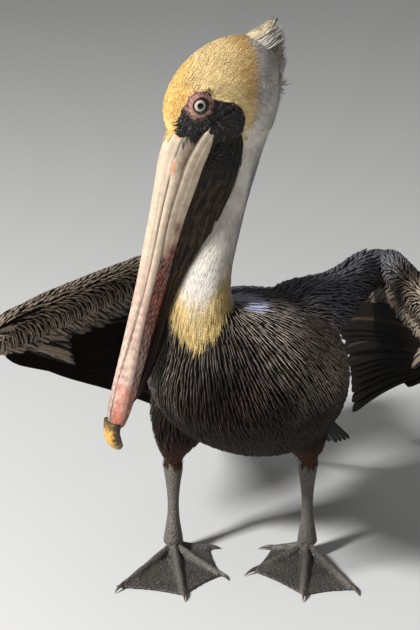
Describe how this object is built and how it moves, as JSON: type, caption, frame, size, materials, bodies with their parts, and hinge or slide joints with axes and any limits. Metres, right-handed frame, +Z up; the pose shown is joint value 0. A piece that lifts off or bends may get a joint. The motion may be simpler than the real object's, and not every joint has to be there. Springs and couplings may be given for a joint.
{
  "type": "brown pelican",
  "caption": "Life-size brown pelican, standing on webbed feet with its wings half open, its head turned aside and its long bill and pouch laid down along its neck.",
  "frame": {"origin": "middle of the bounding box, on the floor under the feet", "axes": "+Z up, the bird faces -Y, its left side is towards +X"},
  "size_m": [0.4824, 0.5012, 0.5945],
  "materials": {
    "crown": "short soft feathers",
    "neck": "short soft feathers",
    "plumage": "overlapping body feathers",
    "flight": "stiff flight feathers",
    "horn": "smooth horn",
    "nail": "smooth horn",
    "pouch": "bare folded skin",
    "leg": "scaled skin",
    "claw": "horn",
    "eye": "wet and glossy"
  },
  "bodies": {
    "root": {"trunk": "plumage", "tail": "flight", "neck_lower": "neck", "neck_middle": "neck", "neck_upper": "neck", "head": "crown", "crest": "neck", "eye_left": "eye", "eye_right": "eye", "bill_upper": "horn", "bill_lower": "horn", "bill_nail": "nail", "pouch": "pouch", "wing_left_upper_arm": "plumage", "wing_left_forearm": "plumage", "wing_left_primaries": "flight", "wing_left_secondaries": "flight", "wing_right_upper_arm": "plumage", "wing_right_forearm": "plumage", "wing_right_primaries": "flight", "wing_right_secondaries": "flight", "thigh_left": "plumage", "tarsus_left": "leg", "foot_left": "leg", "claw_left_outer": "claw", "claw_left_middle": "claw", "claw_left_inner": "claw", "claw_left_hind": "claw", "thigh_right": "plumage", "tarsus_right": "leg", "foot_right": "leg", "claw_right_outer": "claw", "claw_right_middle": "claw", "claw_right_inner": "claw", "claw_right_hind": "claw"}
  },
  "joints": []
}
